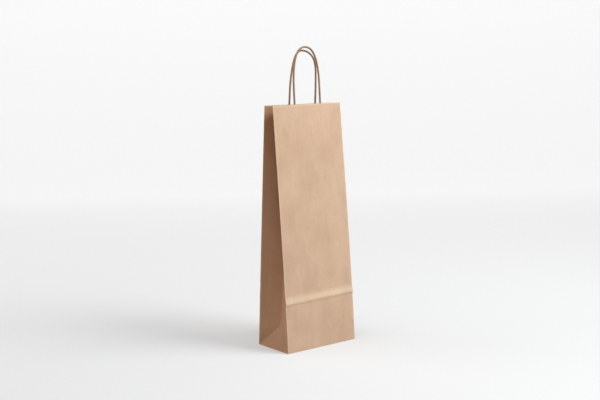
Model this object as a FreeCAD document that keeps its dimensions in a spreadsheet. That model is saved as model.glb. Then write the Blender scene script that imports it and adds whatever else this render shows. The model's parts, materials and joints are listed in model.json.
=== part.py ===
"""Kraft paper bottle bag: a gusseted block-bottom bag with two twisted paper cord handles.

The bag stands on its base at the origin, +Z up, with its front panel facing -Y. It is drawn half
shut, as it stands when empty: both wide panels lean in, and each side gusset is folded inwards in
a V over a small triangular foot. Every flat stretch of paper between two creases is its own thin
plate, held a crease gap away from its neighbours, so that the plates can turn about the creases.
"""
import FreeCAD, Part

import math
import os
import re

import Sketcher
from FreeCAD import Placement, Rotation, Vector

# Alias, size in mm (or degrees for a lean), and what it is.
SIZES = [
    ("bag_width", 140.0, "width of the front and back panels"),
    ("bag_depth", 80.0, "depth of the base, and width of each side gusset laid flat"),
    ("panel_length", 395.0, "length of every panel from the base crease to the mouth"),
    ("mouth_depth", 20.8, "gap between the two wide panels at the mouth"),
    ("cross_crease", 78.0, "distance of the flat-pack crease above the base crease"),
    ("paper", 0.2, "thickness of the kraft paper"),
    ("crease_gap", 0.4, "how far a plate's edge stays from its crease line"),
    ("centre_gap", 1.4, "the same at a gusset's centre crease, which moves a little in use"),
    ("corner_gap", 2.4, "the same at the top corners, where a gusset lies close to a panel"),
    ("base_gap", 0.8, "the same around the base, above the three glued layers"),
    ("flap_overlap", 14.0, "how far each base flap reaches past the middle of the base"),
    ("seam_width", 14.0, "width of the glued side seam inside the back panel"),
    ("seam_gap", 0.9, "gap between the seam flap and the corner crease"),
    ("cord_diameter", 3.2, "twisted paper cord"),
    ("cord_spacing", 53.4, "distance between the two legs of a handle"),
    ("glued_length", 28.0, "length of each cord end that is glued inside its patch"),
    ("hinge_gap", 0.3, "gap either side of the mouth edge where a cord bends"),
    ("patch_width", 84.0, "handle patch"),
    ("patch_height", 44.0, "handle patch"),
    ("patch_drop", 2.0, "distance of the patch's top edge below the mouth"),
    ("ridge_top", 1.2, "half of the flat top of the patch's ridge over a cord"),
    ("ridge_foot", 4.2, "half of the width of that ridge where it meets the backing"),
    ("front_shift", 2.0, "sideways place of the front handle"),
    ("back_shift", 5.0, "sideways place of the back handle"),
    ("front_lean", 2.5, "lean of the front handle towards the back, in degrees"),
    ("back_lean", 3.6, "lean of the back handle towards the front, in degrees"),
]

# Routes of the two loops from leg to leg, as (sideways, up) from the middle of the mouth edge. The
# cords were bent by hand, so one arch is higher and the other one is flattened to one side. The end
# points' sideways places are plus and minus half the cord spacing.
FRONT_ARCH = [(-26.4, 58.0), (-14.0, 91.0), (14.0, 91.0), (26.6, 58.0)]
BACK_ARCH = [(-25.4, 44.0), (-15.5, 86.3), (8.0, 86.0), (25.5, 70.0), (26.9, 32.0)]
ARC_SHARE = 0.45            # share of the shorter run that a bend in a route takes up

doc = FreeCAD.newDocument("bottle_bag")
sizes = doc.addObject("Spreadsheet::Sheet", "sizes")
for row, (alias, size, meaning) in enumerate(SIZES, start=1):
    sizes.set(f"A{row}", meaning)
    sizes.set(f"B{row}", str(size))
    sizes.setAlias(f"B{row}", alias)
doc.recompute()

bodies = []


def value(formula):
    """The number that a formula of the sheet's sizes gives, worked out in a spare cell."""
    sizes.set("D1", f"={formula}")
    sizes.recompute()
    return float(sizes.get("D1"))


def in_sheet(formula):
    """The formula with each size's alias written as a reference to the sheet."""
    return re.sub("[a-z_]+", lambda alias: f"sizes.{alias.group()}", formula)


# ---------------------------------------------------------------- building blocks

def new_body(label):
    body = doc.addObject("PartDesign::Body", label)
    body.Label = label
    bodies.append(body)
    return body


def new_sketch(body, name, plane):
    """An empty sketch on one of the body's own origin planes."""
    sketch = body.newObject("Sketcher::SketchObject", name)
    role = [feature for feature in body.Origin.OriginFeatures if feature.Role == plane]
    sketch.AttachmentSupport = [(role[0], "")]
    sketch.MapMode = "FlatFace"
    return sketch


def bind(sketch, kind, geometry, point, formula):
    """Ties one coordinate of a point, or a circle's radius, to a formula of the sizes."""
    if kind == "Radius":
        constraint = Sketcher.Constraint(kind, geometry, value(formula))
    else:
        constraint = Sketcher.Constraint(kind, -1, 1, geometry, point, value(formula))
    index = sketch.addConstraint(constraint)
    sketch.setExpression(f"Constraints[{index}]", in_sheet(formula))


def polygon(sketch, corners):
    """A closed outline whose corners' coordinates are formulas of the sizes."""
    places = [Vector(value(across), value(along), 0) for across, along in corners]
    count = len(places)
    for index, place in enumerate(places):
        sketch.addGeometry(Part.LineSegment(place, places[(index + 1) % count]), False)
    for index, (across, along) in enumerate(corners):
        sketch.addConstraint(Sketcher.Constraint("Coincident", index, 2, (index + 1) % count, 1))
        bind(sketch, "DistanceX", index, 1, across)
        bind(sketch, "DistanceY", index, 1, along)


def pad(body, sketch, formula, midplane=False):
    feature = body.newObject("PartDesign::Pad", "pad")
    feature.Profile = sketch
    feature.setExpression("Length", in_sheet(formula))
    feature.Midplane = midplane
    sketch.Visibility = False
    return feature


def plate(label, corners, placement):
    """A sheet of paper with the given outline; the placement's XY plane is its middle."""
    body = new_body(label)
    sketch = new_sketch(body, "outline", "XY_Plane")
    polygon(sketch, corners)
    pad(body, sketch, "paper", midplane=True)
    body.Placement = placement


def frame_at(origin, across, along):
    """The placement whose X axis is across, Y axis is along and origin is as given."""
    return Placement(origin, Rotation(across, along, across.cross(along), "XYZ"))


# ---------------------------------------------------------------- how the bag is folded

WIDTH = value("bag_width")
DEPTH = value("bag_depth")
LENGTH = value("panel_length")
HALF_DEPTH = DEPTH / 2
LEAN = math.asin((DEPTH - value("mouth_depth")) / 2 / LENGTH)
# The corner creases lean by LEAN, and the feet's 45 degree creases meet on the bag's middle plane,
# which sets how far the lower part of each gusset folds in.
FOLD = math.acos((1 - math.sin(LEAN)) / math.cos(LEAN))

SIDES = {"left": -1, "right": 1}        # sign of X
FACES = {"front": -1, "rear": 1}        # sign of Y


def panel_frame(face):
    """Middle of the base crease of the front or back panel; X along the crease, Y up the panel."""
    up = Vector(0, -face * math.sin(LEAN), math.cos(LEAN))
    return frame_at(Vector(0, face * HALF_DEPTH, 0), Vector(-face, 0, 0), up)


def gusset_frames(side, face):
    """Frames of the lower and upper plate of half a gusset.

    In both, X runs across the gusset from its corner crease and Y runs up that crease, so a flat
    pattern of the gusset serves for both plates.
    """
    corner = Vector(side * WIDTH / 2, face * HALF_DEPTH, 0)
    up = Vector(0, -face * math.sin(LEAN), math.cos(LEAN))
    across = Vector(0, -face * math.cos(LEAN), -math.sin(LEAN)) * math.cos(FOLD)
    across += Vector(-side, 0, 0) * math.sin(FOLD)
    lower = frame_at(corner, across, up)
    # The upper plate turns about the soft crease from the foot's tip to the mouth's corner, until
    # the top of the centre crease lies on the bag's middle plane, y = 0.
    tip = corner + across * HALF_DEPTH + up * HALF_DEPTH
    axis = corner + up * LENGTH - tip
    axis.normalize()
    crease = up * (LENGTH - HALF_DEPTH)
    along_axis = axis * axis.dot(crease)
    square = crease - along_axis
    turned = axis.cross(crease)
    middle = math.atan2(turned.y, square.y)
    reach = math.acos(-(tip.y + along_axis.y) / math.hypot(turned.y, square.y))
    angles = [middle - reach, middle + reach]
    inward = [(square * math.cos(a) + turned * math.sin(a)).x * -side for a in angles]
    angle = math.degrees(angles[inward.index(max(inward))])
    turn = Placement(Vector(), Rotation(axis, angle), tip)
    return lower, turn.multiply(lower)


def mouth_edge(face):
    """Middle of a panel's top edge."""
    return panel_frame(face).multVec(Vector(0, LENGTH, 0))


# ---------------------------------------------------------------- base

def base_flap(label, face, layer):
    """One glued base flap: 45 degree sides to the middle of the base, then a straight tongue."""
    near = "bag_width / 2 - crease_gap"
    waist = "bag_width / 2 - bag_depth / 2"
    edge = "bag_depth / 2 - base_gap"
    corners = [
        (f"-({near})", f"-({edge})"), (near, f"-({edge})"), (waist, "0"),
        (waist, "flap_overlap"), (f"-({waist})", "flap_overlap"), (f"-({waist})", "0"),
    ]
    turn = Rotation(Vector(0, 0, 1), 0 if face < 0 else 180)
    plate(label, corners, Placement(Vector(0, 0, value("paper") * (layer + 0.5)), turn))


def base_tuck(label, side, layer):
    """The inner flap that each gusset ends in, under both base flaps."""
    inner = "bag_width / 2 - bag_depth / 2"
    outer = "bag_width / 2 - base_gap"
    reach = "bag_depth / 2 - base_gap"
    corners = [(inner, f"-({reach})"), (outer, f"-({reach})"), (outer, reach), (inner, reach)]
    turn = Rotation(Vector(0, 0, 1), 0 if side > 0 else 180)
    plate(label, corners, Placement(Vector(0, 0, value("paper") * (layer + 0.5)), turn))


base_flap("bottom_flap_back", 1, layer=0)
base_flap("bottom_flap_front", -1, layer=1)
for side_name, side_sign in SIDES.items():
    base_tuck(f"bottom_tuck_{side_name}", side_sign, layer=2)

# ---------------------------------------------------------------- wide panels

HALF = "bag_width / 2"
for panel_name, face_sign in (("front", -1), ("back", 1)):
    place = panel_frame(face_sign)
    lower_part = [(f"-{HALF}", "base_gap"), (HALF, "base_gap"),
                  (HALF, "cross_crease"), (f"-{HALF}", "cross_crease")]
    upper_part = [(f"-{HALF}", "cross_crease"), (HALF, "cross_crease"),
                  (HALF, "panel_length"), (f"-{HALF}", "panel_length")]
    plate(f"{panel_name}_panel_lower", lower_part, place)
    plate(f"{panel_name}_panel_upper", upper_part, place)

# The side seam: a strip of the right gusset's sheet, glued flat inside the back panel.
seam_outer = "bag_width / 2 - seam_gap"
seam_inner = "bag_width / 2 - seam_gap - seam_width"
seam = [(f"-({seam_outer})", "2 * base_gap"), (f"-({seam_inner})", "2 * base_gap"),
        (f"-({seam_inner})", "panel_length"), (f"-({seam_outer})", "panel_length")]
inside = Placement(Vector(0, 0, -value("paper")), Rotation())
plate("seam_flap", seam, panel_frame(1).multiply(inside))

# ---------------------------------------------------------------- gussets

HALF_GUSSET = "bag_depth / 2"
RISE = "(2 * panel_length - bag_depth) / bag_depth"     # slope of the soft crease
FOOT_GAP = "1.5 * crease_gap"                           # height of a gap along a 45 degree crease
TIP = f"{HALF_GUSSET} - (1.5 + {RISE}) * crease_gap * bag_depth / 2 / panel_length"

lower_outline = [
    ("crease_gap", f"crease_gap + {FOOT_GAP} + base_gap"),
    (TIP, f"{TIP} + {FOOT_GAP}"),
    ("crease_gap", f"panel_length - 2 * crease_gap * {RISE}"),
]
centre = f"{HALF_GUSSET} - centre_gap"
upper_outline = [
    ("corner_gap", f"panel_length - (corner_gap - crease_gap) * {RISE}"),
    (centre, f"panel_length - ({centre} - crease_gap) * {RISE}"),
    (centre, "panel_length"),
    ("corner_gap", "panel_length"),
]
foot_outline = [
    (f"-({HALF_GUSSET} - base_gap - {FOOT_GAP} - crease_gap)", "base_gap"),
    (f"{HALF_GUSSET} - base_gap - {FOOT_GAP} - crease_gap", "base_gap"),
    ("0", f"{HALF_GUSSET} - {FOOT_GAP} - crease_gap"),
]

for side_name, side_sign in SIDES.items():
    for face_name, face_sign in FACES.items():
        lower_frame, upper_frame = gusset_frames(side_sign, face_sign)
        plate(f"{side_name}_gusset_{face_name}_lower", lower_outline, lower_frame)
        plate(f"{side_name}_gusset_{face_name}_upper", upper_outline, upper_frame)
    foot_up = Vector(-side_sign * math.sin(FOLD), 0, math.cos(FOLD))
    foot_frame = frame_at(Vector(side_sign * WIDTH / 2, 0, 0), Vector(0, 1, 0), foot_up)
    plate(f"{side_name}_gusset_foot", foot_outline, foot_frame)

# ---------------------------------------------------------------- handles

CORD_RADIUS = "cord_diameter / 2"
# Depths inside a panel, measured from the middle of its paper.
BACKING_DEPTH = "paper"
CORD_DEPTH = f"1.5 * paper + {CORD_RADIUS}"
COVER_DEPTH = "1.5 * paper"
COVER_RIDGE = "1.5 * paper + cord_diameter"


def inside_frame(face, shift, depth_formula):
    """A panel's frame, moved sideways to a handle's middle, up to the mouth edge and inwards."""
    return panel_frame(face).multiply(
        Placement(Vector(-face * shift, LENGTH, -value(depth_formula)), Rotation()))


def patch(name, face, shift):
    """The two plies of a handle's patch: a flat backing, and a cover with a ridge on each cord."""
    top = "-patch_drop"
    bottom = "-(patch_drop + patch_height)"
    edge = "patch_width / 2"
    corners = [(f"-{edge}", bottom), (edge, bottom), (edge, top), (f"-{edge}", top)]
    plate(f"{name}_patch_backing", corners, inside_frame(face, shift, BACKING_DEPTH))

    leg = "cord_spacing / 2"
    under = [("-patch_width / 2", "0")]
    for sign in ("-", ""):
        under += [(f"{sign}{leg} - ridge_foot", "0"), (f"{sign}{leg} - ridge_top", "cord_diameter"),
                  (f"{sign}{leg} + ridge_top", "cord_diameter"), (f"{sign}{leg} + ridge_foot", "0")]
    under += [("patch_width / 2", "0")]
    over = [(across, f"{depth} + paper") for across, depth in reversed(under)]
    body = new_body(f"{name}_patch_cover")
    sketch = new_sketch(body, "section", "XY_Plane")
    polygon(sketch, under + over)
    pad(body, sketch, "patch_height")
    # The section is drawn across the panel and into the bag, and is padded down from the top.
    down = Placement(Vector(0, -value("patch_drop"), 0), Rotation(Vector(1, 0, 0), 90))
    flip = Rotation(Vector(0, 0, 1), 180)
    body.Placement = inside_frame(face, shift, COVER_DEPTH).multiply(down).multiply(
        Placement(Vector(), flip))


def cord_end(label, face, across):
    """A straight cord end glued between the two plies."""
    body = new_body(label)
    sketch = new_sketch(body, "section", "XZ_Plane")
    sketch.addGeometry(Part.Circle(Vector(0, 0, 0), Vector(0, 0, 1), value(CORD_RADIUS)), False)
    sketch.addConstraint(Sketcher.Constraint("Coincident", 0, 3, -1, 1))
    bind(sketch, "Radius", 0, 3, CORD_RADIUS)
    pad(body, sketch, "glued_length - hinge_gap")
    body.Placement = inside_frame(face, across, CORD_DEPTH).multiply(
        Placement(Vector(0, -value("hinge_gap"), 0), Rotation()))


def rounded_route(points):
    """Straight runs along the points, joined by a tangent arc at each inner point."""
    edges = []
    start = points[0]
    for before, corner, after in zip(points, points[1:], points[2:]):
        back, ahead = before - corner, after - corner
        run = min(back.Length, ahead.Length)
        half_turn = (math.pi - back.getAngle(ahead)) / 2
        setback = ARC_SHARE * run
        radius = setback / math.tan(half_turn)
        back.normalize()
        ahead.normalize()
        enter, leave = corner + back * setback, corner + ahead * setback
        bisector = back + ahead
        bisector.normalize()
        centre_point = corner + bisector * (radius / math.cos(half_turn))
        middle = centre_point - bisector * radius
        edges += [Part.LineSegment(start, enter), Part.Arc(enter, middle, leave)]
        print(f"bend radius {radius:.1f} mm")
        start = leave
    edges.append(Part.LineSegment(start, points[-1]))
    return edges


def handle_loop(label, face, shift, lean, arch):
    """The free loop of a handle, from just above one glued end to just above the other."""
    body = new_body(label)
    leg = value("cord_spacing") / 2
    gap = value("hinge_gap")
    points = [Vector(across, up, 0) for across, up in [(-leg, gap)] + arch + [(leg, gap)]]
    path = new_sketch(body, "route", "XZ_Plane")
    for edge in rounded_route(points):
        path.addGeometry(edge, False)
    section = new_sketch(body, "section", "XY_Plane")
    section.AttachmentOffset = Placement(Vector(0, 0, gap), Rotation())
    start = Vector(-leg, 0, 0)
    section.addGeometry(Part.Circle(start, Vector(0, 0, 1), value(CORD_RADIUS)), False)
    bind(section, "DistanceX", 0, 3, "-cord_spacing / 2")
    bind(section, "DistanceY", 0, 3, "0")
    bind(section, "Radius", 0, 3, CORD_RADIUS)
    pipe = body.newObject("PartDesign::AdditivePipe", "cord")
    pipe.Profile = section
    pipe.Spine = path
    foot = mouth_edge(face) + panel_frame(face).Rotation.multVec(Vector(0, 0, -value(CORD_DEPTH)))
    body.Placement = Placement(foot + Vector(shift, 0, 0), Rotation(Vector(1, 0, 0), face * lean))
    doc.recompute()
    length = sum(edge.length() for edge in rounded_route(points))
    expected = math.pi * value(CORD_RADIUS) ** 2 * length
    share = body.Shape.Volume / expected
    print(f"{label}: {length:.0f} mm of cord, volume {share:.3f} of section times length")


HANDLES = (
    ("front", -1, "front_shift", "front_lean", FRONT_ARCH),
    ("back", 1, "back_shift", "back_lean", BACK_ARCH),
)
for handle_name, face_sign, shift_size, lean_size, arch_points in HANDLES:
    handle_shift = value(shift_size)
    patch(handle_name, face_sign, handle_shift)
    for side_name, side_sign in SIDES.items():
        leg_place = handle_shift + side_sign * value("cord_spacing") / 2
        cord_end(f"{handle_name}_cord_end_{side_name}", face_sign, leg_place)
    handle_loop(f"{handle_name}_handle_loop", face_sign, handle_shift, value(lean_size), arch_points)

# ---------------------------------------------------------------- check and export

sizes.clear("D1")
doc.recompute()
for thing in doc.Objects:
    if "Invalid" in thing.State or "Error" in thing.State:
        raise RuntimeError(f"{thing.Label} failed: {thing.State}")
for body in bodies:
    if body.Shape.isNull() or not body.Shape.isValid():
        raise RuntimeError(f"{body.Label} has no valid shape")

os.makedirs("parts", exist_ok=True)
for body in bodies:
    body.Shape.exportStep(f"parts/{body.Label}.step")
print(f"{len(bodies)} parts written")
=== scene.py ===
"""Looks of the kraft paper bottle bag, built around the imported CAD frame. Lengths are in metres.

Every stretch of paper is a thin closed sheet on a fine grid. A place on a panel is given by its
distance across the panel, its distance up the panel and its distance out of the panel. A place on
a gusset is given by its distance from the corner crease and its share of the gusset's height there.
"""

import json
import math

import bpy
import numpy as np
from mathutils import Matrix, Vector, noise


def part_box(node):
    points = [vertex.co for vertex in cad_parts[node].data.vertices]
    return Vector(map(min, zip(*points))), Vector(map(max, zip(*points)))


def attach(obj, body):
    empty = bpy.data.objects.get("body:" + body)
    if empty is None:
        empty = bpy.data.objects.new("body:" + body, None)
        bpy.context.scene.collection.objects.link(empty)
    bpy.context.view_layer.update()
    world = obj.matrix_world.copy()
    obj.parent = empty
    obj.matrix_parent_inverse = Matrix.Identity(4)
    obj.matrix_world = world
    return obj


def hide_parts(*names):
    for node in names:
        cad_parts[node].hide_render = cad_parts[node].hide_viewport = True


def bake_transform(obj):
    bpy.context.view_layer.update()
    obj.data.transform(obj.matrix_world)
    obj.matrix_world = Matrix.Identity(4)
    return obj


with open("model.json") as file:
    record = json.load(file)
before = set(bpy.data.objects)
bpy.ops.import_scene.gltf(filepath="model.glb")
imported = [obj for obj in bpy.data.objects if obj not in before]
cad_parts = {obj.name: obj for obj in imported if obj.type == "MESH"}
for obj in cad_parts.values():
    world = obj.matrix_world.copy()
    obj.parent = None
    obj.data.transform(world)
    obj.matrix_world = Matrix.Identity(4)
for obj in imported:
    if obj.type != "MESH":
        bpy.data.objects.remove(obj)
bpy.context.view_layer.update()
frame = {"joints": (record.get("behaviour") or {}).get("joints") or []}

MM = 0.001

# ---------------------------------------------------------------- sizes, read from the frame

JOINTS = {joint["name"]: joint for joint in frame["joints"]}
HALF_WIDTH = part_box("front_panel_upper")[1][0]
HALF_DEPTH = JOINTS["mouth_back_panel"]["pos_m"][1]
MOUTH_Y, MOUTH_Z = JOINTS["back_handle_swing"]["pos_m"][1:]
FOOT_TIP = Vector(JOINTS["right_front_soft_crease"]["pos_m"])
LENGTH = math.hypot(HALF_DEPTH - MOUTH_Y, MOUTH_Z)
LEAN = math.atan2(HALF_DEPTH - MOUTH_Y, MOUTH_Z)
CROSS_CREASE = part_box("front_panel_lower")[1][2] / math.cos(LEAN)
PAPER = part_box("bottom_flap_back")[1][2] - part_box("bottom_flap_back")[0][2]
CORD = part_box("front_cord_end_left")[1][0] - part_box("front_cord_end_left")[0][0]

SIDES = {"left": -1, "right": 1}
FACES = {"front": -1, "rear": 1}
PANEL_BODY = {-1: "front_panel", 1: "back_panel"}

# How the paper is bent, on top of the flat panels of the frame. The keys -1 and 1 are the faces.
BOW = {-1: 2.0 * MM, 1: 0.4 * MM}       # how far each panel bellies out between base and mouth
MOUTH_TWIST = {-1: (1.7 * MM, -1.3 * MM), 1: (0.0, 0.0)}    # left and right ends of a mouth edge
MOUTH_RISE = {-1: 1.2 * MM, 1: 0.4 * MM}        # how much higher a mouth edge's right end is
STEP = {-1: 1.3 * MM, 1: 0.5 * MM}      # height of the step that the flat-pack crease leaves
STEP_SKEW = {-1: 0.018, 1: 0.0}         # how much the crease climbs across each panel
STEP_ABOVE = 0.2 * MM       # where the step stands, from the crease of the frame
STEP_RISE = 5.0 * MM        # length of the step's short rise
STEP_FALL = 13.0 * MM       # length of the strip above it that leans back
FALL_CURVE = 1.6            # how quickly that strip leans back at first
CORNER_RADIUS = 0.3 * MM
BASE_RADIUS = 1.2 * MM
BASE_LIFT = 0.1 * MM        # the panels' lower edges stay this far above the floor
RIPPLE = 0.35 * MM          # slow unevenness of the panels
GUSSET_RIPPLE = 0.45 * MM
FOOT_BELLY = 0.5 * MM       # how far a foot triangle bellies out
CORD_MARK = 0.16 * MM       # how far a glued cord end shows on the outside
MARK_WIDTH = 2.2 * MM
TOP_CREASE_INSET = HALF_WIDTH - 31.5 * MM       # how far in the gusset's crease is at the mouth
TOP_CREASE_DROP = 2.6 * MM  # how far below the mouth's corners the crease ends
TIP_INSET = HALF_WIDTH - FOOT_TIP.x
CREASE_CURVE = 0.68         # how quickly the crease runs in above the foot
CREASE_SHIFT = -0.6 * MM    # the crease lies a little nearer to the front panel
LIP = 1.6 * MM              # how far the rear half runs on past the crease, behind the front half
LIP_SLOPE = 0.45            # how steeply that lip leans into the bag
THIN_PLY = 0.9 * PAPER      # plies that lie on each other, with a hair of space between them


def smooth(value):
    """0 below 0, 1 above 1 and a smooth step between."""
    value = np.clip(value, 0.0, 1.0)
    return value * value * (3 - 2 * value)


def bow(face, across, up):
    """How far a panel bellies out, with the twist of its mouth edge."""
    share = np.clip(up / LENGTH, 0, 1)
    left, right = MOUTH_TWIST[face]
    twist = left + (right - left) * (across / HALF_WIDTH + 1) / 2
    return BOW[face] * np.sin(math.pi * share ** 0.75) + twist * share ** 1.5


def crease_height(face, across):
    """How far up a panel its flat-pack crease lies."""
    return CROSS_CREASE + STEP_ABOVE + STEP_SKEW[face] * across


def step(face, across, up):
    """The flat-pack crease: a short rise, then a strip that leans back."""
    above = up - crease_height(face, across)
    rise = smooth(above / STEP_RISE + 0.5)
    fall = np.clip((above - STEP_RISE / 2) / STEP_FALL, 0, 1)
    return STEP[face] * rise * (1 - fall) ** FALL_CURVE


def panel_point(face, across, up, out):
    """The place that is across, up and out of the front or back panel's plane."""
    share = np.clip(up / LENGTH, 0, 1)
    up = up + MOUTH_RISE[face] * share ** 3 * (across / HALF_WIDTH + 1) / 2
    y = face * (HALF_DEPTH - up * math.sin(LEAN) + out * math.cos(LEAN))
    z = up * math.cos(LEAN) + out * math.sin(LEAN)
    return np.stack(np.broadcast_arrays(across, y, z), axis=-1)


def ripple(across, up, seed):
    """Slow unevenness from -1 to 1 at each place."""
    flat = [noise.noise((x * 16, z * 9, seed)) for x, z in zip(across.ravel(), up.ravel())]
    return np.array(flat).reshape(across.shape)


# ---------------------------------------------------------------- meshes

def placed(name, data):
    """A new object with this data, in the scene."""
    piece = bpy.data.objects.new(name, data)
    bpy.context.scene.collection.objects.link(piece)
    return piece


def mark_wear_and_highlight(mesh, wear):
    """Keeps how worn each point is, from 0 to 1, for the paper's material; on the cords' ridges and on
    the strip above the panels' flat-pack crease the same values are painted highlight.
    """
    marks = mesh.attributes.new("wear", "FLOAT", "POINT")
    marks.data.foreach_set("value", wear.ravel().astype(np.float32))


def spaced(low, high, pitch, fine=()):
    """Distances from low to high at about the pitch, with more of them near the fine places.

    Each fine place is (distance, reach, pitch there).
    """
    places = list(np.linspace(low, high, max(2, round((high - low) / pitch) + 1)))
    for middle, reach, fine_pitch in fine:
        start, stop = max(low, middle - reach), min(high, middle + reach)
        places = [place for place in places if not start < place < stop]
        places += list(np.linspace(start, stop, round((stop - start) / fine_pitch) + 1))
    places = sorted(places)
    kept = places[:1]
    for place in places[1:]:
        if place - kept[-1] > 1e-6:
            kept.append(place)
    return np.array(kept)


def grid_normals(points):
    """Unit normals of a grid of points, row by row."""
    along_row = np.gradient(points, axis=1)
    along_column = np.gradient(points, axis=0)
    normals = np.cross(along_row, along_column)
    lengths = np.linalg.norm(normals, axis=-1, keepdims=True)
    return normals / np.maximum(lengths, 1e-12)


def sheet(name, points, wear, thickness=PAPER):
    """A closed thin sheet through a grid of points. wear, from 0 to 1, is how worn each place is, and
    on the panels it also holds a painted highlight band.
    """
    rows, columns = points.shape[:2]
    normals = grid_normals(points) * thickness / 2
    layers = np.concatenate([(points + normals).reshape(-1, 3), (points - normals).reshape(-1, 3)])
    size = rows * columns
    index = np.arange(size).reshape(rows, columns)
    quads = np.stack([index[:-1, :-1], index[:-1, 1:], index[1:, 1:], index[1:, :-1]], axis=-1)
    faces = [tuple(quad) for quad in quads.reshape(-1, 4)]
    faces += [tuple(quad[::-1] + size) for quad in quads.reshape(-1, 4)]
    layer_faces = len(faces)
    rim = np.concatenate([index[0, :-1], index[:-1, -1], index[-1, :0:-1], index[:0:-1, 0]])
    for here, there in zip(rim, np.roll(rim, -1)):
        faces.append((here, here + size, there + size, there))
    mesh = bpy.data.meshes.new(name)
    mesh.from_pydata(layers.tolist(), [], [tuple(int(i) for i in face) for face in faces])
    mesh.update()
    mesh.polygons.foreach_set("use_smooth", [n < layer_faces for n in range(len(faces))])
    on_rim = set(rim.tolist())
    sharp = []
    for edge in mesh.edges:
        a, b = edge.vertices
        same_layer = (a < size) == (b < size)
        sharp.append(same_layer and a % size in on_rim and b % size in on_rim)
    mesh.attributes.new("sharp_edge", "BOOLEAN", "EDGE").data.foreach_set("value", sharp)
    mark_wear_and_highlight(mesh, np.tile(wear.ravel(), 2))
    return placed(name, mesh)


def near(distance, reach):
    """1 at a crease, falling to 0 over reach."""
    return np.exp(-(distance / reach) ** 2)


# ---------------------------------------------------------------- materials

def nodes_of(material):
    """A material's node tree, its shader, and a function that adds a node with its settings."""
    material.use_nodes = True
    tree = material.node_tree
    shader = tree.nodes["Principled BSDF"]

    def add(kind, **settings):
        node = tree.nodes.new(kind)
        for key, value in settings.items():
            if key in node.inputs:
                node.inputs[key].default_value = value
            else:
                setattr(node, key, value)
        return node

    return tree, shader, add


def mixed(tree, add, factor, low, high):
    """A colour between two, by a factor socket. Each colour is a socket or a tuple."""
    node = add("ShaderNodeMix", data_type="RGBA")
    tree.links.new(factor, node.inputs["Factor"])
    for socket, colour in ((node.inputs[6], low), (node.inputs[7], high)):
        if isinstance(colour, tuple):
            socket.default_value = (*colour, 1)
        else:
            tree.links.new(colour, socket)
    return node.outputs[2]


def weakened(tree, add, factor, strength):
    """A factor socket multiplied by a strength."""
    node = add("ShaderNodeMath", operation="MULTIPLY")
    node.inputs[1].default_value = strength
    tree.links.new(factor, node.inputs[0])
    return node.outputs[0]


def stretched_noise(tree, add, coordinates, stretch, scale, detail, low, high):
    """Noise stretched along an axis and pushed between two levels, as a factor."""
    mapping = add("ShaderNodeMapping")
    mapping.inputs["Scale"].default_value = stretch
    tree.links.new(coordinates, mapping.inputs["Vector"])
    texture = add("ShaderNodeTexNoise", Scale=scale, Detail=detail, Roughness=0.6)
    tree.links.new(mapping.outputs["Vector"], texture.inputs["Vector"])
    levels = add("ShaderNodeMapRange")
    levels.inputs["From Min"].default_value = low
    levels.inputs["From Max"].default_value = high
    tree.links.new(texture.outputs["Fac"], levels.inputs["Value"])
    return levels.outputs["Result"]


def kraft(name, tone, dark, light, worn, fibre_bump=0.35, grain=(1.0, 1.0, 0.1)):
    """Kraft paper: cloudy tone, long fibres, specks, and paler creases where it is worn; the same paler
    tone is painted highlight where the wear attribute carries it.

    grain scales the coordinates, so the fibres run along the axis with the smallest share.
    """
    material = bpy.data.materials.new(name)
    tree, shader, add = nodes_of(material)
    place = add("ShaderNodeTexCoord").outputs["Object"]
    clouds = stretched_noise(tree, add, place, (1, 1, 0.6), 30, 4, 0.3, 0.7)
    fibres = stretched_noise(tree, add, place, grain, 1500, 5, 0.32, 0.72)
    streaks = stretched_noise(tree, add, place, (1, 1, 0.05), 260, 3, 0.35, 0.75)
    specks = stretched_noise(tree, add, place, (1, 1, 0.45), 900, 2, 0.70, 0.80)
    flecks = stretched_noise(tree, add, place, (1, 0.8, 0.3), 620, 2, 0.69, 0.80)
    clouded = tuple(0.35 * a + 0.65 * b for a, b in zip(tone, dark))
    colour = mixed(tree, add, clouds, tone, clouded)
    for source, strength, shade in (
            (fibres, 0.22, light), (streaks, 0.11, dark), (specks, 0.45, dark), (flecks, 0.35, light)):
        colour = mixed(tree, add, weakened(tree, add, source, strength), colour, shade)
    # The wear attribute lightens towards the worn tone: real wear on edges and creases, and painted
    # highlight on the cords' ridges and on the strip above the panels' flat-pack crease.
    wear = add("ShaderNodeAttribute", attribute_name="wear")
    patchy = add("ShaderNodeMapRange")
    patchy.inputs["To Min"].default_value = 0.45
    tree.links.new(fibres, patchy.inputs["Value"])
    broken = add("ShaderNodeMath", operation="MULTIPLY")
    tree.links.new(wear.outputs["Fac"], broken.inputs[0])
    tree.links.new(patchy.outputs["Result"], broken.inputs[1])
    colour = mixed(tree, add, broken.outputs[0], colour, worn)
    tree.links.new(colour, shader.inputs["Base Color"])

    roughness = add("ShaderNodeMapRange")
    roughness.inputs["To Min"].default_value = 0.62
    roughness.inputs["To Max"].default_value = 0.80
    tree.links.new(streaks, roughness.inputs["Value"])
    tree.links.new(roughness.outputs["Result"], shader.inputs["Roughness"])
    shader.inputs["Specular IOR Level"].default_value = 0.35
    relief = add("ShaderNodeBump", Strength=fibre_bump, Distance=0.06 * MM)
    tree.links.new(fibres, relief.inputs["Height"])
    cockle = add("ShaderNodeBump", Strength=0.35, Distance=0.6 * MM)
    tree.links.new(clouds, cockle.inputs["Height"])
    tree.links.new(cockle.outputs["Normal"], relief.inputs["Normal"])
    tree.links.new(relief.outputs["Normal"], shader.inputs["Normal"])
    return material


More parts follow.
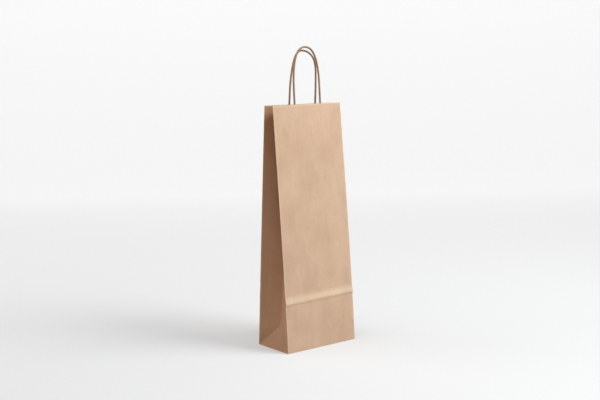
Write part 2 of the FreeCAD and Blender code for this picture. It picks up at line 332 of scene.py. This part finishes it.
# Each paper's own, dark, light and worn tones, except the gusset tones: these are the panel kraft made
# darker and redder as painted shade.
KRAFT = ((0.572, 0.388, 0.264), (0.430, 0.270, 0.172), (0.635, 0.465, 0.342), (0.720, 0.570, 0.400))
GUSSET_PAINTED_SHADE = ((0.428, 0.223, 0.119), (0.328, 0.156, 0.076), (0.528, 0.312, 0.182), (0.612, 0.400, 0.250))
PATCH = ((0.500, 0.315, 0.195), (0.390, 0.235, 0.140), (0.600, 0.400, 0.265), (0.660, 0.500, 0.350))
# The cord's worn tone is used as painted highlight on its ridges.
TWIST = ((0.262, 0.152, 0.087), (0.145, 0.075, 0.039), (0.450, 0.290, 0.180), (0.500, 0.340, 0.220))

panel_paper = kraft("kraft_panel", *KRAFT)
# Painted shade: the gussets and feet get a darker, redder copy of the panel kraft.
gusset_paper_painted_shade = kraft("kraft_gusset", *GUSSET_PAINTED_SHADE)
base_paper = kraft("kraft_base", *KRAFT, grain=(0.1, 1.0, 1.0))
patch_paper = kraft("kraft_patch", *PATCH, grain=(0.12, 1.0, 1.0))


def dress(piece, body, slot, material, *nodes):
    """Gives a piece its material, puts it on its body and hides the CAD nodes it stands for. slot is
    not used.
    """
    piece.data.materials.append(material)
    if body:
        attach(piece, body)
    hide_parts(*nodes)


# ---------------------------------------------------------------- handles: facts

LEG = 26.7 * MM             # from the middle of a handle to each of its legs
GLUED = 28.0 * MM           # length of each cord end that is glued inside its patch
CORD_DEPTH = 1.5 * PAPER + CORD / 2     # from the middle of the panel's paper to the middle of the cord

# Each arch is a route as (sideways, up) in mm from the middle of the mouth edge, as in the CAD source.
HANDLES = {
    "front": {
        "face": -1, "shift": 2.0 * MM, "lean": math.radians(2.5),
        "arch": [(-26.4, 58.0), (-14.0, 91.0), (14.0, 91.0), (26.6, 58.0)],
    },
    "back": {
        "face": 1, "shift": 5.0 * MM, "lean": math.radians(3.6),
        "arch": [(-25.4, 44.0), (-15.5, 86.3), (8.0, 86.0), (25.5, 70.0), (26.9, 32.0)],
    },
}


def handle_of(face):
    """The facts of the handle that is glued inside a face."""
    return next(handle for handle in HANDLES.values() if handle["face"] == face)


# ---------------------------------------------------------------- wide panels

def rounding(distance, radius):
    """How far a rounded edge of that radius falls back, at a distance from the edge."""
    short = np.clip(radius - distance, 0, radius)
    return radius - np.sqrt(radius ** 2 - short ** 2)


def panel_out(face, across, up):
    """How far the bent panel stands out of its flat plane."""
    out = bow(face, across, up) + step(face, across, up)
    from_edge = HALF_WIDTH - np.abs(across)
    away = smooth(from_edge / (14 * MM)) * smooth(up / (12 * MM))
    out = out + RIPPLE * away * ripple(across, up, 3.1 if face < 0 else 7.7)
    for leg in (-LEG, LEG):
        beside = (across - handle_of(face)["shift"] - leg) / MARK_WIDTH
        below = smooth((up - LENGTH + GLUED + 3 * MM) / (6 * MM))
        out = out + CORD_MARK * np.exp(-beside ** 2) * below
    return out - rounding(from_edge, CORNER_RADIUS) - rounding(up, BASE_RADIUS)


def panel_wear_and_highlight(face, across, up):
    """Wear along the edges, and an uneven band above the flat-pack crease that is partly crease
    whitening and partly painted highlight, where the strip that leans back catches the light.
    """
    # Painted highlight, with some crease whitening: this band lightens the strip that leans back above
    # the flat-pack crease.
    band = 0.60 + 0.2 * ripple(across * 2.5, np.zeros_like(up), 4.4)
    return np.maximum.reduce([
        0.6 * near(HALF_WIDTH - np.abs(across), 0.7 * MM),
        band * near(up - crease_height(face, across) - 7 * MM, 6 * MM),
        0.8 * near(LENGTH - up, 0.5 * MM),
        0.8 * near(up, 0.7 * MM),
    ])


def wide_panel(name, face):
    """The front or back panel, from the base crease to the mouth."""
    fine_edges = [(sign * HALF_WIDTH, 0.45 * MM, 0.075 * MM) for sign in (-1, 1)]
    fine_base = (0.8 * MM, 0.8 * MM, 0.12 * MM)
    fine_step = (CROSS_CREASE + STEP_ABOVE + STEP_FALL / 2, 12 * MM, 0.6 * MM)
    columns = spaced(-HALF_WIDTH, HALF_WIDTH, 2.4 * MM, fine_edges)
    rows = spaced(BASE_LIFT, LENGTH, 2.6 * MM, [fine_base, fine_step])
    across, up = np.meshgrid(columns, rows)
    points = panel_point(face, across, up, panel_out(face, across, up))
    piece = sheet(f"{name}_panel_paper", points, panel_wear_and_highlight(face, across, up))
    dress(piece, PANEL_BODY[face], "kraft_panel", panel_paper,
          f"{name}_panel_lower", f"{name}_panel_upper")


wide_panel("front", -1)
wide_panel("back", 1)


# ---------------------------------------------------------------- gussets

def corner_line(side, face, up):
    """The crease between a wide panel and a gusset."""
    across = np.full_like(up, side * HALF_WIDTH)
    return panel_point(face, across, up, bow(face, across, up) + step(face, across, up))


def centre_line(side, up):
    """The gusset's centre crease, from the foot's tip to the mouth."""
    share = np.clip((up - HALF_DEPTH) / (LENGTH - HALF_DEPTH), 0, 1)
    inset = TIP_INSET + (TOP_CREASE_INSET - TIP_INSET) * share ** CREASE_CURVE
    shift = CREASE_SHIFT * np.sin(math.pi * share ** 0.4)
    z = FOOT_TIP.z + (MOUTH_Z - TOP_CREASE_DROP - FOOT_TIP.z) * share
    return np.stack(np.broadcast_arrays(side * (HALF_WIDTH - inset), shift, z), axis=-1)


def gusset_points(side, face, across, share):
    """Places on a gusset half, at distances from the corner and at shares of the height there.

    Distances past the centre crease are on the lip, which leans into the bag.
    """
    beyond = np.clip(across - HALF_DEPTH, 0, None)
    across = np.minimum(across, HALF_DEPTH)
    up = across + share * (LENGTH - across)
    above_foot = np.maximum(up, HALF_DEPTH)
    toward = centre_line(side, above_foot) - corner_line(side, face, above_foot)
    points = corner_line(side, face, up) + toward * (across / HALF_DEPTH)[..., None]
    lean = np.array([LIP_SLOPE * side, 0, 0])
    onward = toward / np.linalg.norm(toward, axis=-1, keepdims=True) - lean
    fading = smooth(share / 0.05) * (1 - smooth((share - 0.35) / 0.3))
    points = points + onward * (beyond * (0.04 + 0.96 * fading))[..., None]
    flat = smooth(across / (8 * MM)) * smooth((HALF_DEPTH - across) / (8 * MM)) * smooth(share / 0.06)
    lift = GUSSET_RIPPLE * flat * ripple(across, up, 11.3 * side + 5.1 * face)
    return points + grid_normals(points) * lift[..., None]


def gusset_wear(across, share):
    """Wear along the creases and the mouth edge."""
    across = np.minimum(across, HALF_DEPTH)
    up = across + share * (LENGTH - across)
    return np.maximum.reduce([
        0.5 * near(HALF_DEPTH - across, 0.6 * MM) * smooth(share / 0.02),
        0.8 * near(across, 0.8 * MM),
        0.12 * near(up - CROSS_CREASE, 1.5 * MM),
        0.10 * near(share * LENGTH, 0.8 * MM),
        0.8 * near(LENGTH - up, 0.5 * MM),
    ])


def gusset_half(side_name, face_name):
    """One half of a gusset, from the 45 degree crease over the foot to the mouth."""
    side, face = SIDES[side_name], FACES[face_name]
    columns = spaced(CORNER_RADIUS, HALF_DEPTH, 2.2 * MM)
    if face > 0:
        columns = np.append(columns, [HALF_DEPTH + LIP / 2, HALF_DEPTH + LIP])
    across, share = np.meshgrid(columns, spaced(0, 1, 0.0075, [(0.11, 0.02, 0.0015)]))
    piece = sheet(f"{side_name}_{face_name}_gusset_paper", gusset_points(side, face, across, share),
                  gusset_wear(across, share))
    # Painted shade: the darker, redder gusset kraft.
    dress(piece, None, "kraft_gusset", gusset_paper_painted_shade, f"{side_name}_gusset_{face_name}_lower",
          f"{side_name}_gusset_{face_name}_upper")
    bend_gusset(piece, side_name, face_name)


def bend_gusset(piece, side_name, face_name):
    """Works out the soft crease's pivot and the ways to the corner and the mouth, then bakes the half's
    placement into its mesh; the half is not turned.
    """
    side, face = SIDES[side_name], FACES[face_name]
    joint = JOINTS[f"{side_name}_{face_name}_soft_crease"]
    pivot, axis = Vector(joint["pos_m"]), Vector(joint["axis"])
    corner_way = Vector((side * HALF_WIDTH, face * HALF_DEPTH, 0)) - pivot
    corner_way = (corner_way - axis * corner_way.dot(axis)).normalized()
    mouth_way = Vector(centre_line(side, np.array(LENGTH))) - pivot
    mouth_way = (mouth_way - axis * mouth_way.dot(axis)).normalized()
    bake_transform(piece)


def gusset_foot(side_name):
    """The triangle at the bottom of a gusset."""
    side = SIDES[side_name]
    width, rise = np.meshgrid(np.linspace(-0.995, 0.995, 37), spaced(0, 0.9985, 0.045))
    base = np.stack(np.broadcast_arrays(side * HALF_WIDTH, width * HALF_DEPTH, 0.0), axis=-1)
    tip = np.array([side * FOOT_TIP.x, 0, FOOT_TIP.z])
    points = base * (1 - rise[..., None]) + tip * rise[..., None]
    belly = FOOT_BELLY * (1 - width ** 2) * np.sin(math.pi * rise)
    points = points + np.stack([side * belly, 0 * belly, 0.2 * belly], axis=-1)
    edge_distance = (1 - np.abs(width)) * (1 - rise) * HALF_DEPTH / math.sqrt(2)
    wear = np.maximum(0.10 * near(edge_distance, 0.8 * MM), 0.7 * near(rise * HALF_DEPTH, 0.7 * MM))
    piece = sheet(f"{side_name}_foot_paper", points, wear)
    # Painted shade: the darker, redder gusset kraft.
    dress(piece, f"{side_name}_foot", "kraft_gusset", gusset_paper_painted_shade, f"{side_name}_gusset_foot")


for side_key in SIDES:
    gusset_foot(side_key)
    for face_key in FACES:
        gusset_half(side_key, face_key)


# ---------------------------------------------------------------- seam and base

def seam_flap():
    """The strip of paper that is glued inside the back panel and closes the bag's side."""
    low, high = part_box("seam_flap")
    columns = spaced(low[0], high[0], 1.6 * MM)
    rows = spaced(low[2], LENGTH - 0.3 * MM, 3 * MM, [(CROSS_CREASE, 2.4 * MM, 0.6 * MM)])
    across, up = np.meshgrid(columns, rows)
    points = panel_point(1, across, up, panel_out(1, across, up) - 1.15 * PAPER)
    wear = 0.9 * near(across - low[0], 0.5 * MM)
    piece = sheet("seam_flap_paper", points, wear)
    dress(piece, "back_panel", "kraft_base", panel_paper, "seam_flap")


def base_flap(name, node, face, plies_below):
    """A flat outer flap of the base. It narrows towards the middle and reaches a little past it."""
    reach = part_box("bottom_flap_front")[1][1]
    near_y, far_y = sorted((face * HALF_DEPTH, -face * reach))
    share, way = np.meshgrid(np.linspace(-1, 1, 49), spaced(near_y, far_y, 2.5 * MM))
    across = share * (HALF_WIDTH - HALF_DEPTH + np.maximum(face * way, 0))
    height = PAPER * (plies_below + 0.5)
    lift = 0.03 * MM * np.maximum(ripple(across, way, plies_below + 2.5), 0)
    points = np.stack(np.broadcast_arrays(across, way, height + lift), axis=-1)
    wear = 0.6 * near(np.minimum(way - near_y, far_y - way), 0.6 * MM)
    piece = sheet(name, points, wear, thickness=THIN_PLY)
    dress(piece, "base", "kraft_base", base_paper, node)


def base_tuck(side_name):
    """The inner flap that a gusset ends in, on top of both base flaps."""
    side = SIDES[side_name]
    columns = spaced(HALF_WIDTH - HALF_DEPTH, HALF_WIDTH, 2.5 * MM)
    ways = spaced(-HALF_DEPTH, HALF_DEPTH, 2.5 * MM)
    across, way = np.meshgrid(columns, ways)
    points = np.stack(np.broadcast_arrays(side * across, way, PAPER * 2.5), axis=-1)
    wear = 0.6 * near(across - HALF_WIDTH + HALF_DEPTH, 0.6 * MM)
    piece = sheet(f"base_tuck_{side_name}", points, wear, thickness=THIN_PLY)
    dress(piece, "base", "kraft_base", base_paper, f"bottom_tuck_{side_name}")


base_flap("base_flap_back", "bottom_flap_back", 1, 0)
base_flap("base_flap_front", "bottom_flap_front", -1, 1)
seam_flap()
for side_key in SIDES:
    base_tuck(side_key)


# ---------------------------------------------------------------- handle patches

def ridge(across, up, shift):
    """Height of the cover ply over the two glued cord ends."""
    height = np.zeros_like(across)
    for leg in (-LEG, LEG):
        beside = np.clip((np.abs(across - shift - leg) - 0.9 * MM) / (3.8 * MM), 0, 1)
        tent = 0.5 * (1 + np.cos(math.pi * beside))
        below = smooth((up - LENGTH + GLUED + 5 * MM) / (5 * MM))
        height = np.maximum(height, CORD * tent * below)
    return height


def patch(name):
    """The backing and cover plies that hold a handle's two glued ends."""
    handle = HANDLES[name]
    face, shift = handle["face"], handle["shift"]
    low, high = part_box(f"{name}_patch_backing")
    legs = [(shift + leg, 5 * MM, 0.5 * MM) for leg in (-LEG, LEG)]
    columns = spaced(low[0], high[0], 2 * MM, legs)
    rows = spaced(low[2] / math.cos(LEAN), high[2] / math.cos(LEAN), 2 * MM)
    across, up = np.meshgrid(columns, rows)
    skin = panel_out(face, across, up)
    border = np.minimum.reduce([across - columns[0], columns[-1] - across, up - rows[0], rows[-1] - up])
    wear = 0.7 * near(border, 0.5 * MM)
    backing_points = panel_point(face, across, up, skin - PAPER * 1.1)
    backing = sheet(f"{name}_patch_backing_ply", backing_points, wear, thickness=THIN_PLY)
    dress(backing, PANEL_BODY[face], "kraft_patch", patch_paper, f"{name}_patch_backing")
    lift = ridge(across, up, shift) + 0.12 * MM * ripple(across, up, 9.4 * face) ** 2
    cover_points = panel_point(face, across, up, skin - PAPER * 2.15 - lift)
    wear = np.maximum(wear, 0.35 * lift / CORD)
    cover = sheet(f"{name}_patch_cover_ply", cover_points, wear, thickness=THIN_PLY)
    dress(cover, PANEL_BODY[face], "kraft_patch", patch_paper, f"{name}_patch_cover")


for handle_name in HANDLES:
    patch(handle_name)


# ---------------------------------------------------------------- twisted paper cords

TWIST_PITCH = 11.0 * MM     # length of one turn of the twisted strip
CORD_PITCH = 0.7 * MM       # distance between the rings of the cord's mesh
CORD_SEGMENTS = 22          # points round each ring
TWIST_WANDER = 0.9          # how unevenly the strip is twisted, in radians
CORD_SWELL = 0.05           # how unevenly thick the cord is, as a share
GROOVE_DEPTH = 0.20         # the strip's edge leaves a groove, as a share of the cord's radius
GROOVE_WIDTH = 0.35         # in radians


def smooth_line(points):
    """Points read from the NURBS spline that has these control points."""
    curve = bpy.data.curves.new("route", "CURVE")
    curve.dimensions = "3D"
    curve.resolution_u = 24
    spline = curve.splines.new("NURBS")
    spline.points.add(len(points) - 1)
    for place, point in zip(spline.points, points):
        place.co = (*point, 1)
    spline.order_u = 3
    spline.use_endpoint_u = True
    holder = placed("route", curve)
    bpy.context.view_layer.update()
    graph = bpy.context.evaluated_depsgraph_get()
    line = bpy.data.meshes.new_from_object(holder.evaluated_get(graph))
    places = np.array([vertex.co for vertex in line.vertices])
    bpy.data.objects.remove(holder)
    bpy.data.curves.remove(curve)
    bpy.data.meshes.remove(line)
    return places


def evenly(places, pitch):
    """The same line with points at an even pitch, and its length."""
    gaps = np.linalg.norm(np.diff(places, axis=0), axis=1)
    travelled = np.concatenate([[0], np.cumsum(gaps)])
    count = round(travelled[-1] / pitch) + 1
    wanted = np.linspace(0, travelled[-1], count)
    line = np.stack([np.interp(wanted, travelled, places[:, axis]) for axis in range(3)], axis=-1)
    return line, wanted, travelled[-1]


def cord_rings(line, travelled, seed):
    """Rings of points round a line, with wandering helical ridges, and how much painted highlight each
    point gets.
    """
    tangents = np.gradient(line, axis=0)
    tangents /= np.linalg.norm(tangents, axis=1, keepdims=True)
    side = np.cross(tangents, [0.0, 1.0, 0.0])
    side /= np.linalg.norm(side, axis=1, keepdims=True)
    other = np.cross(tangents, side)
    angles = np.linspace(0, 2 * math.pi, CORD_SEGMENTS, endpoint=False)
    rings, painted_ridge_light = [], []
    for place, way, sideways, onward in zip(line, travelled, side, other):
        wander = TWIST_WANDER * noise.noise((way * 45, seed, 0.3))
        swell = 1 + CORD_SWELL * noise.noise((way * 90, seed, 8.8))
        turned = angles - (2 * math.pi * way / TWIST_PITCH + wander)
        lobes = 0.075 * np.abs(np.cos(turned)) + 0.045 * np.cos(3 * turned + 1.0)
        groove = np.exp(-((turned % (2 * math.pi) - math.pi) / GROOVE_WIDTH) ** 2)
        radius = CORD / 2 * swell * (0.97 + lobes - GROOVE_DEPTH * groove)
        across = np.cos(angles)[:, None] * sideways + np.sin(angles)[:, None] * onward
        rings.append(place + radius[:, None] * across)
        # Painted highlight: the raised lobes are lightened towards the cord's worn tone and the grooves
        # are not, as light and shade fall on a twisted cord.
        painted_ridge_light.append(0.7 * np.clip(lobes / 0.12, 0, 1) * (1 - groove))
    return np.array(rings), np.array(painted_ridge_light)


def twisted_cord(name, line, travelled, seed):
    """A strip of paper twisted into a cord: a closed tube along a line."""
    rings, painted_ridge_light = cord_rings(line, travelled, seed)
    index = np.arange(len(line) * CORD_SEGMENTS).reshape(-1, CORD_SEGMENTS)
    ahead = np.roll(index, -1, axis=1)
    quads = np.stack([index[:-1], ahead[:-1], ahead[1:], index[1:]], axis=-1).reshape(-1, 4)
    faces = quads.tolist() + [index[0][::-1].tolist(), index[-1].tolist()]
    mesh = bpy.data.meshes.new(name)
    mesh.from_pydata(rings.reshape(-1, 3).tolist(), [], faces)
    mesh.update()
    mesh.polygons.foreach_set("use_smooth", [len(face) == 4 for face in faces])
    # The wear attribute carries the painted highlight of the ridges.
    mark_wear_and_highlight(mesh, painted_ridge_light)
    return placed(name, mesh)


def handle_cord(name):
    """A whole cord, from one glued end over the arch to the other one."""
    handle = HANDLES[name]
    face, shift, lean = handle["face"], handle["shift"], handle["lean"]
    rise = Vector((0, -face * math.sin(lean), math.cos(lean)))

    def leg_point(sign, up):
        """A place on the middle of a glued cord end."""
        across = np.array(shift + sign * LEG)
        depth = bow(face, across, up) - CORD_DEPTH
        return Vector(panel_point(face, across, np.array(up), depth))

    exits = {sign: leg_point(sign, LENGTH) for sign in (-1, 1)}
    middle = (exits[-1] + exits[1]) / 2
    tilt = (exits[1] - exits[-1]) / (2 * LEG)
    route = [leg_point(-1, LENGTH - GLUED), exits[-1]]
    route += [middle + tilt * (across * MM) + rise * (up * MM) for across, up in handle["arch"]]
    route += [exits[1], leg_point(1, LENGTH - GLUED)]
    line, travelled, length = evenly(smooth_line(route), CORD_PITCH)
    piece = twisted_cord(f"{name}_handle_cord", line, travelled, 4.0 + face)
    dress(piece, None, "paper_cord", cord_paper, f"{name}_handle_loop",
          f"{name}_cord_end_left", f"{name}_cord_end_right")
    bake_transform(piece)


# Its worn tone is the painted highlight on the cord's ridges.
cord_paper = kraft("paper_cord", *TWIST, fibre_bump=0.6, grain=(1.0, 1.0, 0.3))
for handle_name in HANDLES:
    handle_cord(handle_name)

# ---------------------------------------------------------------- floor, light and camera

PHOTO_AZIMUTH = math.radians(-37.8)
FLOOR_WHITE = (0.42, 0.42, 0.42)
FLOOR_GLOW = (0.1, 2.0, 0.30, 0.68)     # from and to these distances behind the bag, these strengths


def bowl_mesh():
    """A round floor that curves up into a low wall, far from the bag."""
    radius, bend, height, bend_steps, segments = 2.6, 0.8, 1.4, 12, 96
    profile = [(0.5, 0.0), (1.2, 0.0), (radius, 0.0)]
    for number in range(1, bend_steps + 1):
        angle = math.pi / 2 * number / bend_steps
        profile.append((radius + bend * math.sin(angle), bend * (1 - math.cos(angle))))
    profile.append((radius + bend, height))
    turns = [2 * math.pi * number / segments for number in range(segments)]
    points = [(0, 0, 0)]
    for distance, z in profile:
        points += [(distance * math.cos(turn), distance * math.sin(turn), z) for turn in turns]
    faces = []
    for number in range(segments):
        after = (number + 1) % segments
        faces.append((0, 1 + number, 1 + after))
        for ring in range(len(profile) - 1):
            inner, outer = 1 + ring * segments, 1 + (ring + 1) * segments
            faces.append((inner + number, outer + number, outer + after, inner + after))
    mesh = bpy.data.meshes.new("studio_bowl")
    mesh.from_pydata(points, [], faces)
    mesh.polygons.foreach_set("use_smooth", [True] * len(faces))
    return mesh


def studio_white():
    """A matt white that glows more and more behind the bag, like a lit backdrop."""
    material = bpy.data.materials.new("studio_white")
    tree, shader, add = nodes_of(material)
    shader.inputs["Base Color"].default_value = (*FLOOR_WHITE, 1)
    shader.inputs["Emission Color"].default_value = (1, 1, 1, 1)
    shader.inputs["Roughness"].default_value = 0.9
    shader.inputs["Specular IOR Level"].default_value = 0.1
    apart = add("ShaderNodeSeparateXYZ")
    tree.links.new(add("ShaderNodeTexCoord").outputs["Object"], apart.inputs[0])
    glow = add("ShaderNodeMapRange")
    for key, value in zip(("From Min", "From Max", "To Min", "To Max"), FLOOR_GLOW):
        glow.inputs[key].default_value = value
    tree.links.new(apart.outputs["Y"], glow.inputs["Value"])
    tree.links.new(glow.outputs["Result"], shader.inputs["Emission Strength"])
    return material


def white_bowl():
    """The pale floor and backdrop, turned so that it glows straight behind the bag."""
    bowl = placed("studio_bowl", bowl_mesh())
    bowl.rotation_euler[2] = PHOTO_AZIMUTH
    bowl.data.materials.append(studio_white())


def area_light(name, place, target, size, power, colour=(1, 1, 1)):
    """A round soft light that faces a target."""
    lamp = bpy.data.lights.new(name, "AREA")
    lamp.shape = "DISK"
    lamp.size = size
    lamp.energy = power
    lamp.color = colour
    light = placed(name, lamp)
    light.location = place
    light.rotation_euler = (Vector(target) - Vector(place)).to_track_quat("-Z", "Y").to_euler()


def studio():
    """Four soft lights and a faint warm world."""
    world = bpy.data.worlds.new("studio")
    bpy.context.scene.world = world
    world.use_nodes = True
    background = world.node_tree.nodes["Background"]
    background.inputs["Color"].default_value = (1.0, 0.96, 0.92, 1)
    background.inputs["Strength"].default_value = 0.03
    area_light("top", (-0.25, -0.1, 2.3), (0, 0, 0), 1.3, 28)
    area_light("front", (0.60, -1.15, 1.40), (0, 0, 0.25), 0.8, 26, (0.94, 0.98, 1.0))
    area_light("behind", (-1.2, 1.3, 0.8), (0, 0, 0.1), 1.2, 10)
    area_light("right", (0.95, -0.75, 1.65), (0, 0, 0.1), 0.35, 8, (1.0, 0.98, 0.95))
    bpy.context.scene.view_settings.view_transform = "Standard"


def photo_camera():
    """The camera at the view that the bag is matched to."""
    elevation, roll = math.radians(7.39), math.radians(-1.01)
    distance, focal_length = 1.6605, 61.06
    target = Vector((-0.0088, 0.0014, 0.2385))
    back = Vector((math.sin(PHOTO_AZIMUTH) * math.cos(elevation),
                   -math.cos(PHOTO_AZIMUTH) * math.cos(elevation), math.sin(elevation)))
    right = Vector((0, 0, 1)).cross(back).normalized()
    up = back.cross(right)
    turned_right = right * math.cos(roll) + up * math.sin(roll)
    turned_up = up * math.cos(roll) - right * math.sin(roll)
    camera = bpy.data.cameras.new("camera")
    camera.lens = focal_length
    camera.clip_end = 50
    holder = placed("camera", camera)
    axes = Matrix((turned_right, turned_up, back)).transposed()
    holder.matrix_world = Matrix.Translation(target + back * distance) @ axes.to_4x4()
    bpy.context.scene.camera = holder


white_bowl()
studio()
photo_camera()
